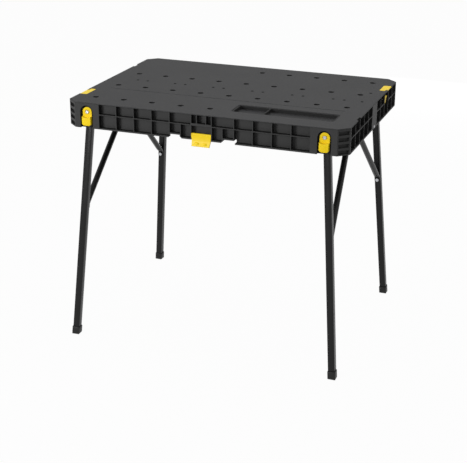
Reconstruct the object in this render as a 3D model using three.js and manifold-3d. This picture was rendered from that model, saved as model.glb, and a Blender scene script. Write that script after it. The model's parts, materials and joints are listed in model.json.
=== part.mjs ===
// Folding workbench: a ribbed plastic top on four splayed, braced steel legs that fold in under it.
// Millimetres, +Z up, origin on the floor under the centre of the top, front towards -Y.

import * as THREE from 'three';
import { mergeVertices } from 'three/addons/utils/BufferGeometryUtils.js';
import Module from 'manifold-3d';

const wasm = await Module();
wasm.setup();

// Overall size
const length = 857;
const depth = 606;
const height = 747;
const cornerRunX = 30;
const cornerRunY = 27;
const touch = 0.3;

// Deck moulding
const deckThickness = 5;
const deckRim = 2.4;
const deckEdgeBevel = 1;
const deckRibDepth = 7;
const deckRibWidth = 3;
const dogDiameter = 19;
const dogColumnPitch = 91;
const dogRowPitch = 155;
const dogMargin = 45;
const screwHoleDiameter = 7;
const screwPairPitch = 127;
const screwPairGap = 34;
const sideHoleInset = 40;
const sideHolePitch = 107;
const grooveY = -120;
const grooveWidth = 3;
const grooveDepth = 1.2;

// Parts tray sunk in the front right of the deck
const trayFrontInset = 71;
const trayEndInset = 65;
const trayLength = 294;
const trayWidth = 66;
const trayDepth = 12;
const trayWall = 2.5;
const trayRadius = 6;
const trayRim = 6;
const trayRimDepth = 1.2;
const trayDividerFromLeft = 91;
const trayDividerWidth = 4;
const trayDividerDrop = 2;

// Skirt under the deck edge
const skirtHeight = 77;
const skirtDepth = 18;
const skirtBackWall = 3;
const skirtFlange = 4;
const skirtRib = 2.4;
const midRibDrop = 33;
const frontCellPitch = 56;
const frontCells = 4;
const frontCellStart = 98;
const sidePost = 54;
const sideCellPitch = 49;
const sideCells = 5;
const louvreCount = 4;
const louvreLength = 33;
const louvreHeight = 11;
const louvreDepth = 8;

// Centre of the front skirt: raised grip edges beside a block that carries the flap
const gripHalf = 102;
const gripRise = 11;
const blockHalf = 66;
const blockRise = 1;
const blockChamfer = 5;
const slotCellEdges = [31, 14];
const slotCellBottom = 27.5;
const flapWidth = 60;
const flapTaper = 3.5;
const flapThickness = 4;
const flapPinDrop = 60;
const flapPinSetback = 3.5;
const flapPinRadius = 1.6;
const flapKnuckle = 3.8;
const flapLength = 33;
const flapFlare = 6.5;
const flapFlareLength = 15;
const flapBumpShare = 0.42;
const flapBumpRadius = 7;
const flapBumpRise = 2.2;
const flapBumpHalfHeight = 4.2;

// Legs and braces
const legSize = 20;
const legWall = 1.5;
const legStub = 9;
const splayX = THREE.MathUtils.degToRad(4.46);
const splayY = THREE.MathUtils.degToRad(4.27);
const latchInset = 67.2;
const legLineDrop = 30;
const upperHingeDrop = 27;
const foldLayerGap = 3;
const foldInward = 0.045;
const braceHingeY = 11;
const lowerBraceSetOut = 10.5;
const braceDiameter = 18;
const braceTabWidth = 18;
const braceTabThickness = 4.4;
const braceTabEnd = 9;
const braceTopBend = 10;
const braceBendSoftness = 3.5;
const braceFootBend = 9.5;
const braceOpeningLength = 25;
const braceBendRound = 0.08;
const braceOpening = [[0, 0.22], [0.55, 0.7], [1, 1]];
const tabEndRounding = [[0, 0.45], [0.17, 0.75], [0.5, 1]];
const braceBoltDrop = 330;
const braceBoltRadius = 3;
const boltHeadRadius = 5.8;
const boltHeadHeight = 4;
const capWall = 1.5;
const capHeight = 24;
const capSole = 4;

// Pressed steel hinge brackets
const plate = 2.5;
const pivotRadius = 4;
const pivotHeadRadius = 6.5;
const pivotHeadHeight = 3;
const cheekBelow = 24;
const cheekHalf = 13;
const bracketRise = 17;
const bracketGap = 4;
const runClear = 0.5;
const cheekLean = 1.1;
const braceCheekHalf = 6.5;
const braceCheekBelow = 6.5;
const bracePinRadius = 3;
const bracePinHeadRim = 1.5;
const bracePinHeadHeight = 2;
const braceSeatHalfX = 16;
const braceSeatHalfY = 22;

// Leg latches in arched pockets at the four corners
const latchPocketDepth = 10;
const latchPocketRadius = 20;
const cornerWall = 4.5;
const latchPivotDrop = 29;
const latchWidth = 29;
const latchFoot = 70;
const latchPlate = 4;
const latchPadTop = 46.5;
const latchPadScoop = 26.5;
const latchPadReach = 4;
const latchPadRadius = 8;
const latchPadBevel = 2.5;
const latchRelief = THREE.MathUtils.degToRad(8.5);
const latchGap = 0.4;
const lockPinDrop = 60;
const lockPinRadius = 3;
const lockPinSlot = 5.5;
const lockPinSocket = 7.5;
const latchScrewRadius = 2.5;
const latchScrewHead = 5;
const latchScrewHeadHeight = 2.5;
const latchScrewPlay = 1.2;
const latchScrewSink = 1.4;
const latchScrewClear = 2;
const latchScrewSlot = 1.2;

// Linking gear on the right back and left front edges
const linkFromCorner = 121;
const linkLength = 64;
const linkReach = 21;
const linkPlate = 3;
const linkPinInset = 2.9;
const linkPinRadius = 1.3;
const linkKnuckle = 2.4;
const linkPinEnd = 5;
const linkDrop = 0.2;
const linkBedMargin = 3;
const linkRadius = 5;
const linkEar = 13;
const hookPinDrop = 20;
const hookPinInset = 6.5;
const hookPinRadius = 1.5;
const hookKnuckle = 4;
const hookWidth = 28;
const hookTipWidth = 9;
const hookShoulder = 5;
const hookLength = 18;
const hookThickness = 5;
const catchLength = 30;
const catchDepth = 6;

// Sides of a circle for holes, pins and tubes
const holeSides = 12;
const screwHoleSides = 8;
const padCornerSteps = 3;
const latchArcSteps = 6;
const scoopSides = 28;
const cheekArcSteps = 3;
const pinSides = 10;
const tubeSides = 12;

// Places worked out from the sizes above
const skirtTopZ = -deckRim - touch;
const skirtBottomZ = -skirtHeight;
const deckUnderZ = -deckThickness;
const ribUnderZ = deckUnderZ - deckRibDepth;
const legHalf = legSize / 2;
const latchX = length / 2 - latchInset;
const linkY = depth / 2 - linkFromCorner;
const cheekIn = legHalf + runClear + cheekLean;
const cheekOut = cheekIn + plate;
const legLineY = depth / 2 - latchPocketDepth - cornerWall - bracketGap - cheekOut;
const tabHalf = braceTabThickness / 2;
const tabGap = 0.25;

// Colours
const colours = {
  deck: [0x434446, 0.72, 0],
  skirt: [0x2f3032, 0.75, 0],
  tube: [0x17181a, 0.45, 0.2],
  cap: [0x101112, 0.85, 0],
  steel: [0xb9bcc0, 0.35, 0.9],
  blackSteel: [0x1d1e20, 0.5, 0.6],
  yellow: [0xf2c914, 0.5, 0],
};

function finish(name) {
  const [color, roughness, metalness] = colours[name];
  return new THREE.MeshStandardMaterial({ color, roughness, metalness });
}

// Solid helpers
function solid(geometry) {
  const bare = geometry.clone();
  bare.deleteAttribute('normal');
  bare.deleteAttribute('uv');
  const merged = mergeVertices(bare, 1e-4);
  const vertProperties = new Float32Array(merged.attributes.position.array);
  const triVerts = new Uint32Array(merged.index.array);
  return new wasm.Manifold(new wasm.Mesh({ numProp: 3, vertProperties, triVerts }));
}

function geometryOf(body) {
  const { vertProperties, triVerts } = body.getMesh();
  const geometry = new THREE.BufferGeometry();
  geometry.setAttribute('position', new THREE.BufferAttribute(vertProperties, 3));
  geometry.setIndex(new THREE.BufferAttribute(triVerts, 1));
  geometry.computeVertexNormals();
  return geometry;
}

function join(...shapes) {
  return shapes.map(asSolid).reduce((sum, shape) => sum.add(shape));
}

function cut(base, ...tools) {
  return tools.map(asSolid).reduce((rest, tool) => rest.subtract(tool), asSolid(base));
}

function asSolid(shape) {
  return shape.isBufferGeometry ? solid(shape) : shape;
}

function box(x0, x1, y0, y1, z0, z1) {
  const shape = new THREE.BoxGeometry(x1 - x0, y1 - y0, z1 - z0);
  return shape.translate((x0 + x1) / 2, (y0 + y1) / 2, (z0 + z1) / 2);
}

// Cylinder along Y between two stations
function rodY(radius, y0, y1, x = 0, z = 0, sides = pinSides) {
  const shape = new THREE.CylinderGeometry(radius, radius, y1 - y0, sides);
  return shape.translate(x, (y0 + y1) / 2, z);
}

function rodX(radius, x0, x1, y, z, sides = pinSides) {
  return rodY(radius, x0, x1, 0, 0, sides).rotateZ(-Math.PI / 2).translate(0, y, z);
}

function rodZ(radius, z0, z1, x, y, sides = holeSides) {
  return rodY(radius, z0, z1, 0, 0, sides).rotateX(Math.PI / 2).translate(x, y, 0);
}

// Prism of a shape drawn in X and Z, between two Y stations
function wallPrism(shape, y0, y1, options = {}) {
  const settings = { depth: y1 - y0, bevelEnabled: false, curveSegments: 6, ...options };
  const prism = new THREE.ExtrudeGeometry(shape, settings);
  return prism.rotateX(Math.PI / 2).translate(0, y1, 0);
}

// Prism of a shape drawn in X and Y, between two Z stations
function floorPrism(shape, z0, z1, options = {}) {
  const settings = { depth: z1 - z0, bevelEnabled: false, curveSegments: 5, ...options };
  return new THREE.ExtrudeGeometry(shape, settings).translate(0, 0, z0);
}

// Prism of a shape drawn in Y and Z, between two X stations
function sidePrism(shape, x0, x1) {
  const prism = new THREE.ExtrudeGeometry(shape, { depth: x1 - x0, bevelEnabled: false, curveSegments: 6 });
  return prism.rotateX(Math.PI / 2).rotateZ(Math.PI / 2).translate(x0, 0, 0);
}

function roundedRect(x0, x1, y0, y1, radius) {
  const shape = new THREE.Shape();
  shape.moveTo(x0 + radius, y0);
  shape.lineTo(x1 - radius, y0);
  shape.absarc(x1 - radius, y0 + radius, radius, -Math.PI / 2, 0);
  shape.lineTo(x1, y1 - radius);
  shape.absarc(x1 - radius, y1 - radius, radius, 0, Math.PI / 2);
  shape.lineTo(x0 + radius, y1);
  shape.absarc(x0 + radius, y1 - radius, radius, Math.PI / 2, Math.PI);
  shape.lineTo(x0, y0 + radius);
  shape.absarc(x0 + radius, y0 + radius, radius, Math.PI, Math.PI * 1.5);
  return shape;
}

// Outline of the top, drawn in by a constant distance
function topOutline(inset) {
  const halfX = length / 2 - inset;
  const halfY = depth / 2 - inset;
  const run = Math.hypot(cornerRunX, cornerRunY);
  const normal = new THREE.Vector2(cornerRunY / run, cornerRunX / run);
  const reach = normal.dot(new THREE.Vector2(length / 2 - cornerRunX, depth / 2)) - inset;
  const cutX = (reach - normal.y * halfY) / normal.x;
  const cutY = (reach - normal.x * halfX) / normal.y;
  return new THREE.Shape([
    new THREE.Vector2(cutX, -halfY),
    new THREE.Vector2(halfX, -cutY),
    new THREE.Vector2(halfX, cutY),
    new THREE.Vector2(cutX, halfY),
    new THREE.Vector2(-cutX, halfY),
    new THREE.Vector2(-halfX, cutY),
    new THREE.Vector2(-halfX, -cutY),
    new THREE.Vector2(-cutX, -halfY),
  ]);
}

// The four upright faces of the top: Y runs out of the face, X along it
const faces = {
  back: { turn: 0, reach: depth / 2 },
  front: { turn: Math.PI, reach: depth / 2 },
  right: { turn: -Math.PI / 2, reach: length / 2 },
  left: { turn: Math.PI / 2, reach: length / 2 },
};

function onFace(geometry, face) {
  return geometry.translate(0, face.reach, 0).rotateZ(face.turn);
}

// Corners with their signs, and the frame of each leg hinge
const corners = [
  { name: 'front_left', x: -1, y: -1 },
  { name: 'front_right', x: 1, y: -1 },
  { name: 'back_left', x: -1, y: 1 },
  { name: 'back_right', x: 1, y: 1 },
];

// Right legs fold in an upper layer and left legs in a lower one, so that all four lie inside the skirt
for (const corner of corners) {
  const lower = corner.x < 0;
  const drop = lower ? upperHingeDrop + legSize + foldLayerGap : upperHingeDrop;
  const pivotX = latchX + Math.tan(splayX) * (drop - legLineDrop);
  const pivotY = legLineY + Math.tan(splayY) * (drop - legLineDrop);
  const pivot = new THREE.Vector3(corner.x * pivotX, corner.y * pivotY, -drop);
  const run = new THREE.Vector3(corner.x * Math.tan(splayX), corner.y * Math.tan(splayY), -1).normalize();
  const folded = new THREE.Vector3(-corner.x, -corner.y * foldInward, 0).normalize();
  const swing = folded.sub(run);
  const braceX = pivotX + (lower ? lowerBraceSetOut : 0);
  const brace = new THREE.Vector3(corner.x * braceX, corner.y * braceHingeY, 0);
  const spread = pivot.clone().sub(brace);
  brace.z = -drop + (spread.x * swing.x + spread.y * swing.y) / swing.z;
  const axis = pivot.clone().sub(brace).normalize();
  const across = run.clone().cross(axis).normalize();
  const up = across.clone().cross(axis);
  corner.drop = drop;
  corner.pivot = pivot;
  corner.brace = brace;
  corner.bracketTop = bracketRise + drop - upperHingeDrop;
  corner.axisLength = pivot.distanceTo(brace);
  corner.turn = new THREE.Quaternion().setFromRotationMatrix(new THREE.Matrix4().makeBasis(across, axis, up));
  corner.lean = Math.asin(run.dot(axis));
  corner.outward = corner.x * corner.y;
  corner.legReach = (height - drop) / -run.z;
  corner.lockReach = (lockPinDrop - drop) / -run.z;
  corner.boltReach = (braceBoltDrop - drop) / -run.z;
  corner.legTurn = corner.turn.clone().multiply(legLean(corner));
}

function legLean(corner) {
  return new THREE.Quaternion().setFromAxisAngle(new THREE.Vector3(1, 0, 0), corner.lean);
}

// How far the lock pin sits from the middle of the leg, which leans away under the latch
function lockPinX(corner) {
  return -corner.outward * Math.tan(splayX) * (lockPinDrop - legLineDrop);
}

// Places a shape of a hinge's own frame in the frame of the top
function fromHinge(geometry, corner) {
  return geometry.applyQuaternion(corner.turn).translate(...corner.pivot.toArray());
}

// Deck
function dogHoles() {
  const columns = Math.floor((length / 2 - dogMargin) / dogColumnPitch);
  const holes = [];
  for (let column = -columns; column <= columns; column += 1) {
    for (const row of [-1.5, -0.5, 0.5, 1.5]) {
      const takenByTray = row === -1.5 && column > 0;
      const keptPlain = row === 1.5 && column < 0;
      if (takenByTray || keptPlain) continue;
      const x = column * dogColumnPitch;
      const y = row * dogRowPitch;
      holes.push(rodZ(dogDiameter / 2, ribUnderZ - 1, 1, x, y));
    }
  }
  return holes;
}

function screwHoles() {
  const places = [];
  for (const pair of [-2.5, -1.5, -0.5, 0.5, 1.5, 2.5]) {
    for (const side of [-0.5, 0.5]) {
      places.push([pair * screwPairPitch + side * screwPairGap, 0]);
    }
  }
  for (const step of [0, 1]) {
    places.push([length / 2 - sideHoleInset, step * sideHolePitch]);
  }
  return places.map(([x, y]) => rodZ(screwHoleDiameter / 2, deckUnderZ - 1, 1, x, y, screwHoleSides));
}

function deckRibs() {
  const endX = length / 2 - skirtDepth - touch;
  const endY = depth / 2 - skirtDepth - touch;
  const half = deckRibWidth / 2;
  const columns = Math.floor(endX / dogColumnPitch);
  const ribs = [];
  for (let column = -columns; column < columns; column += 1) {
    const x = (column + 0.5) * dogColumnPitch;
    ribs.push(box(x - half, x + half, -endY, endY, ribUnderZ, deckUnderZ + 1));
  }
  for (const y of [-dogRowPitch, -dogRowPitch / 4, dogRowPitch / 4, dogRowPitch]) {
    ribs.push(box(-endX, endX, y - half, y + half, ribUnderZ, deckUnderZ + 1));
  }
  return ribs;
}

// Room that the ribs leave for a hinge bracket
function bracketRoom(corner) {
  const halfX = cheekHalf + touch;
  const halfY = cheekOut + touch;
  return fromHinge(box(-halfX, halfX, -halfY, halfY, -cheekBelow, corner.bracketTop + touch), corner);
}

// Seats under the deck that the hinge brackets are screwed to
function bracketSeats() {
  const seats = corners.map((corner) => {
    const rise = corner.drop - deckThickness + 1;
    const seat = box(-cheekHalf, cheekHalf, -cheekIn, cheekIn, corner.bracketTop + touch, rise);
    return fromHinge(seat, corner);
  });
  for (const corner of corners.filter(({ y }) => y > 0)) {
    const { x } = corner.brace;
    const half = braceSeatHalfX;
    seats.push(box(x - half, x + half, -braceSeatHalfY, braceSeatHalfY, ribUnderZ, deckUnderZ + 1));
  }
  return seats;
}

const trayX1 = length / 2 - trayEndInset;
const trayX0 = trayX1 - trayLength;
const trayY0 = -depth / 2 + trayFrontInset;
const trayY1 = trayY0 + trayWidth;
const trayDividerX = trayX0 + trayDividerFromLeft;

function trayShell() {
  const shell = roundedRect(trayX0 - trayWall, trayX1 + trayWall, trayY0 - trayWall, trayY1 + trayWall,
    trayRadius + trayWall);
  return floorPrism(shell, -trayDepth - trayWall, deckUnderZ + 1);
}

function trayCuts() {
  const half = trayDividerWidth / 2;
  const compartments = [[trayX0, trayDividerX - half], [trayDividerX + half, trayX1]];
  const cuts = compartments.map(([x0, x1]) =>
    floorPrism(roundedRect(x0, x1, trayY0, trayY1, trayRadius), -trayDepth, 1));
  const rim = roundedRect(trayX0 - trayRim, trayX1 + trayRim, trayY0 - trayRim, trayY1 + trayRim,
    trayRadius + trayRim);
  cuts.push(floorPrism(rim, -trayRimDepth, 1));
  cuts.push(box(trayDividerX - half - 1, trayDividerX + half + 1, trayY0 + trayRadius, trayY1 - trayRadius,
    -trayDividerDrop, 1));
  return cuts;
}

const linkPinX = length / 2 - linkPinInset;
const linkPinZ = -linkDrop - linkKnuckle;
const linkEarX = linkPinX - linkKnuckle - touch;
const linkEarSweep = Math.hypot(linkPinInset, linkDrop + linkKnuckle) + touch;

// Recess, hinge slot and pin hole of one link plate, and the notch that takes the other bench's link
function linkCuts(turn) {
  const y0 = linkY - linkLength / 2 - touch;
  const y1 = linkY + linkLength / 2 + touch;
  const edge = length / 2 + 1;
  const floorZ = -linkDrop - linkPlate - touch;
  const bed = roundedRect(linkPinX - linkReach - touch, edge + linkRadius, y0, y1, linkRadius);
  const ear = box(linkEarX, edge * 2, y0 - 1, y0 + linkEar, -deckThickness * 2, deckThickness);
  const recess = cut(floorPrism(bed, floorZ, 1), ear);
  const slot = cut(box(linkPinX - linkKnuckle - touch * 2, edge, y0, y1, -deckThickness - 1, 1), ear);
  const pinHole = rodY(linkPinRadius + touch, y0 - 1, y1 + linkPinEnd, linkPinX, linkPinZ);
  const halfCatch = catchLength / 2;
  const notch = box(-catchDepth, 1, -halfCatch, halfCatch, -deckThickness - 1, 1);
  notch.translate(length / 2, -linkY, 0);
  return [recess, slot, pinHole, notch].map((shape) => asSolid(shape).rotate([0, 0, turn]));
}

// Room in the deck's edge that keeps its full thickness round a link plate
function linkBed(clear, turn) {
  const margin = linkBedMargin + clear;
  const reach = linkLength / 2 + linkPinEnd + margin;
  const bed = box(linkPinX - linkReach - margin, length, -reach, reach, -deckThickness - clear, 1);
  return bed.translate(0, linkY, 0).rotateZ(turn);
}

// The deck thins to a rim where it lies on the skirt
function rimRebate() {
  const ring = topOutline(-touch);
  ring.holes.push(new THREE.Path(topOutline(skirtDepth + touch).getPoints()));
  const rebate = floorPrism(ring, -deckThickness - 1, -deckRim);
  return cut(rebate, linkBed(0, 0), linkBed(0, Math.PI));
}

function deckBody() {
  const bevel = {
    bevelEnabled: true, bevelThickness: deckEdgeBevel, bevelSize: deckEdgeBevel, bevelSegments: 1,
  };
  const shape = topOutline(deckEdgeBevel);
  const slab = floorPrism(shape, deckUnderZ + deckEdgeBevel, -deckEdgeBevel, bevel);
  const grooveEnd = length / 2 - sideHoleInset - dogDiameter;
  const groove = box(-grooveEnd, grooveEnd, -grooveWidth / 2, grooveWidth / 2, -grooveDepth, 1);
  groove.translate(0, grooveY, 0);
  const rooms = corners.map(bracketRoom);
  const ribs = deckRibs().map((rib) => cut(rib, ...rooms));
  const whole = join(slab, ...ribs, ...bracketSeats(), trayShell());
  const holes = [...dogHoles(), ...screwHoles()];
  return cut(whole, rimRebate(), ...trayCuts(), groove, ...linkCuts(0), ...linkCuts(180), ...holes);
}

// Skirt: cells cut into the outside of a ring, by face, open under the deck's rim
const cellTopZ = skirtTopZ + 1;
const cellFloorZ = skirtBottomZ + skirtFlange;
const cellDepth = skirtDepth - skirtBackWall;

function cell(x0, x1, z0, z1, face) {
  return onFace(box(x0 + skirtRib / 2, x1 - skirtRib / 2, -cellDepth, 1, z0, z1), face);
}

// An upper and a lower cell, with the horizontal rib between them
function cellPair(x0, x1, face) {
  const ribZ = -midRibDrop;
  return [
    cell(x0, x1, ribZ + skirtRib / 2, cellTopZ, face),
    cell(x0, x1, cellFloorZ, ribZ - skirtRib / 2, face),
  ];
}

function longFaceCells(face) {
  const cells = [];
  for (const side of [-1, 1]) {
    for (let step = 0; step < frontCells; step += 1) {
      const near = frontCellStart + step * frontCellPitch;
      const ends = [side * near, side * (near + frontCellPitch)].sort((a, b) => a - b);
      cells.push(...cellPair(...ends, face));
    }
  }
  return cells;
}

function backCentreCells() {
  const pitch = frontCellStart / 2;
  return [-2, -1, 0, 1].flatMap((step) => cellPair(step * pitch, (step + 1) * pitch, faces.back));
}

// Front centre: tall cells beside a narrow group of slots, over the window that the flap swings through
const flapWindow = flapWidth / 2 + touch;
const flapWindowZ = -flapPinDrop + flapKnuckle + touch * 2;
const flapPinHalf = flapWindow + skirtRib;

function frontCentreCells() {
  const [outer, inner] = slotCellEdges;
  const upperZ = -midRibDrop + skirtRib / 2;
  const lowerZ = -midRibDrop - skirtRib / 2;
  const gripZ = skirtBottomZ + gripRise + skirtFlange;
  const cells = [
    cell(-inner, inner, -slotCellBottom, cellTopZ, faces.front),
    cell(-outer, outer, flapWindowZ, lowerZ, faces.front),
  ];
  for (const side of [-1, 1]) {
    const span = (a, b) => [side * a, side * b].sort((p, q) => p - q);
    cells.push(cell(...span(inner, outer), -slotCellBottom, cellTopZ, faces.front));
    cells.push(cell(...span(outer, frontCellStart), upperZ, cellTopZ, faces.front));
    cells.push(cell(...span(blockHalf - skirtRib, frontCellStart), gripZ, lowerZ, faces.front));
    const beside = span(flapWindow + skirtRib / 2, blockHalf - skirtRib);
    cells.push(cell(...beside, cellFloorZ + blockRise, lowerZ, faces.front));
  }
  return cells;
}

const hookCell = 2;

function sideFaceCells(face) {
  const cells = [];
  for (const side of [-1, 1]) {
    for (let step = 0; step < sideCells; step += 1) {
      const near = sidePost / 2 + step * sideCellPitch;
      const ends = [side * near, side * (near + sideCellPitch)].sort((a, b) => a - b);
      const holdsHook = step === hookCell && side === -1;
      if (holdsHook) cells.push(cell(...ends, cellFloorZ, cellTopZ, face));
      else cells.push(...cellPair(...ends, face));
    }
  }
  return cells;
}

// Louvres in the four cut-off corners
function louvres() {
  const run = Math.hypot(cornerRunX, cornerRunY);
  const pitch = (skirtHeight - deckThickness) / louvreCount;
  const halfLength = louvreLength / 2;
  const cuts = [];
  for (const corner of corners) {
    const heading = Math.atan2(corner.y * cornerRunX / run, corner.x * cornerRunY / run);
    const middleX = corner.x * (length / 2 - cornerRunX / 2);
    const middleY = corner.y * (depth / 2 - cornerRunY / 2);
    for (let step = 0; step < louvreCount; step += 1) {
      const z = -deckThickness - (step + 0.5) * pitch;
      const slot = box(-louvreDepth, 1, -halfLength, halfLength, -louvreHeight / 2, louvreHeight / 2);
      cuts.push(slot.rotateZ(heading).translate(middleX, middleY, z));
    }
  }
  return cuts;
}

// Arched pocket of a leg latch, with its screw hole, lock pin slot and the room behind it
function latchCuts(face) {
  const below = skirtBottomZ - 1;
  const cuts = [];
  for (const side of [-1, 1]) {
    const x = side * latchX;
    const arch = new THREE.Shape();
    arch.moveTo(x - latchPocketRadius, below);
    arch.lineTo(x + latchPocketRadius, below);
    arch.lineTo(x + latchPocketRadius, -latchPivotDrop);
    arch.absarc(x, -latchPivotDrop, latchPocketRadius, 0, Math.PI);
    const behind = latchPocketDepth + cornerWall;
    const roomHalf = cheekHalf + bracketGap;
    const room = box(x - roomHalf, x + roomHalf, -skirtDepth - 1, -behind, below, 0);
    const screwHole = rodY(latchScrewRadius + touch, -behind - 1, 0, x, -latchPivotDrop);
    const pinSlot = rodY(lockPinSlot, -behind - 1, 0, x, -lockPinDrop);
    const pocket = wallPrism(arch, -latchPocketDepth, 1);
    cuts.push(...[pocket, room, screwHole, pinSlot].map((shape) => onFace(shape, face)));
  }
  return cuts;
}

// Grip edges, block corners and the flap's window
function frontEdgeCuts() {
  const through = [-skirtDepth - 1, 1];
  const below = skirtBottomZ - 1;
  const cuts = [box(-flapWindow, flapWindow, ...through, below, flapWindowZ)];
  for (const side of [-1, 1]) {
    const span = [side * blockHalf, side * gripHalf].sort((a, b) => a - b);
    cuts.push(box(...span, ...through, below, skirtBottomZ + gripRise));
    const corner = box(-blockChamfer, blockChamfer, ...through, -blockChamfer, blockChamfer);
    cuts.push(corner.rotateY(Math.PI / 4).translate(side * blockHalf, 0, skirtBottomZ));
  }
  cuts.push(box(-blockHalf, blockHalf, ...through, below, skirtBottomZ + blockRise));
  cuts.push(rodX(flapPinRadius + touch, -flapPinHalf, flapPinHalf, -flapPinSetback, -flapPinDrop));
  return cuts.map((shape) => onFace(shape, faces.front));
}

const hookMiddle = sidePost / 2 + (hookCell + 0.5) * sideCellPitch;
const hookPinX = length / 2 - hookPinInset;
const hookPinHalf = sideCellPitch / 2 + skirtRib;

function skirtBody() {
  const ringShape = topOutline(0);
  ringShape.holes.push(new THREE.Path(topOutline(skirtDepth).getPoints()));
  const ring = floorPrism(ringShape, skirtBottomZ, skirtTopZ);
  const hookHoles = [0, Math.PI].map((turn) => {
    const hole = rodY(hookPinRadius + touch, -hookPinHalf, hookPinHalf, hookPinX, -hookPinDrop);
    return hole.translate(0, hookMiddle, 0).rotateZ(turn);
  });
  return cut(ring, ...longFaceCells(faces.front), ...longFaceCells(faces.back), ...backCentreCells(),
    ...frontCentreCells(), ...sideFaceCells(faces.left), ...sideFaceCells(faces.right), ...louvres(),
    ...latchCuts(faces.front), ...latchCuts(faces.back), ...frontEdgeCuts(), ...hookHoles,
    linkBed(touch, 0), linkBed(touch, Math.PI));
}

// Hinge bracket of a leg, in the hinge frame: top plate, two cheeks and the stop that the open leg rests on
function legBracketBody(corner) {
  const stopTop = -legStub - plate * 2;
  const stopNear = legHalf + touch;
  const stop = [corner.outward * stopNear, corner.outward * (stopNear + plate)].sort((a, b) => a - b);
  const cheeks = [[cheekIn, cheekOut], [-cheekOut, -cheekIn]].map(([y0, y1]) =>
    box(-cheekHalf, cheekHalf, y0, y1, -cheekBelow, corner.bracketTop));
  const top = box(-cheekHalf, cheekHalf, -cheekOut, cheekOut, corner.bracketTop - plate, corner.bracketTop);
  const web = box(...stop, -cheekOut, cheekOut, -cheekBelow, stopTop);
  const lockSlot = rodY(lockPinSlot, 0, cheekOut + 1, lockPinX(corner), -corner.lockReach);
  return cut(join(...cheeks, top, web), rodY(pivotRadius + touch, -cheekOut - 1, cheekOut + 1), lockSlot);
}

function legPivotPin() {
  const shank = rodY(pivotRadius, -cheekOut - touch - 1, cheekOut);
  const head = rodY(pivotHeadRadius, -cheekOut - touch - pivotHeadHeight, -cheekOut - touch);
  return join(shank, head);
}

// Square leg tube, in the leg frame: Z runs up the leg, Y across it away from the brace
function legBody(corner) {
  const foot = -corner.legReach + capSole;
  const inner = legHalf - legWall;
  const tube = box(-legHalf, legHalf, -legHalf, legHalf, foot, legStub);
  const bore = box(-inner, inner, -inner, inner, foot - 1, legStub + 1);
  const pivotHole = rodY(pivotRadius + touch, -legSize, legSize).rotateX(-corner.lean);
  const boltHole = rodY(braceBoltRadius + touch, -legSize, 0, 0, -corner.boltReach);
  const lockHole = rodY(lockPinRadius + touch * 2, 0, legSize, lockPinX(corner), -corner.lockReach);
  return cut(tube, bore, pivotHole, boltHole, lockHole);
}

// Foot cap, cut level with the floor
function footCapBody(corner) {
  const outer = legHalf + touch + capWall;
  const inside = legHalf + touch;
  const sole = -corner.legReach + capSole - touch;
  const cup = box(-outer, outer, -outer, outer, -corner.legReach - outer, -corner.legReach + capHeight);
  const socket = box(-inside, inside, -inside, inside, sole, 0);
  const ground = box(-legSize * 2, legSize * 2, -legSize * 2, legSize * 2, -legSize * 2, 0);
  ground.applyQuaternion(corner.legTurn.clone().invert()).translate(0, 0, -corner.legReach);
  return cut(cup, socket, ground);
}

// Ring of a tube whose ends are pressed flat: 0 is flat, 1 is round
function braceSection(point, tangent, round, widthShare) {
  const flatX = braceTabWidth / 2;
  const halfX = THREE.MathUtils.lerp(flatX, braceDiameter / 2, round) * widthShare;
  const halfN = THREE.MathUtils.lerp(tabHalf, braceDiameter / 2, round);
  const squareness = THREE.MathUtils.lerp(0.3, 1, round);
  const ring = [];
  for (let side = 0; side < tubeSides; side += 1) {
    const angle = ((side + 0.5) / tubeSides) * Math.PI * 2;
    const bend = (value) => Math.sign(value) * Math.abs(value) ** squareness;
    const across = halfX * bend(Math.cos(angle));
    const off = halfN * bend(Math.sin(angle));
    ring.push(new THREE.Vector3(across, point.x - tangent.y * off, point.y + tangent.x * off));
  }
  return ring;
}

// Closed skin over a row of rings
function loft(rings) {
  const count = rings[0].length;
  const points = rings.flat();
  const index = [];
  for (let row = 0; row + 1 < rings.length; row += 1) {
    for (let side = 0; side < count; side += 1) {
      const a = row * count + side;
      const b = row * count + ((side + 1) % count);
      index.push(a, a + count, b, b, a + count, b + count);
    }
  }
  const last = (rings.length - 1) * count;
  for (let side = 1; side + 1 < count; side += 1) {
    index.push(0, side, side + 1);
    index.push(last, last + side + 1, last + side);
  }
  const geometry = new THREE.BufferGeometry().setFromPoints(points);
  geometry.setIndex(index);
  return geometry;
}

// Stations along a brace from one end: distance, roundness and share of the full width
function braceStations(flat) {
  const soft = braceBendSoftness;
  const rounded = tabEndRounding.map(([at, share]) => [at * braceTabEnd, 0, share]);
  const pressed = [[flat - soft, 0, 1], [flat, braceBendRound, 1]];
  const opening = braceOpening.map(([at, round]) => [flat + soft + at * braceOpeningLength, round, 1]);
  return [...rounded, ...pressed, ...opening];
}

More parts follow.
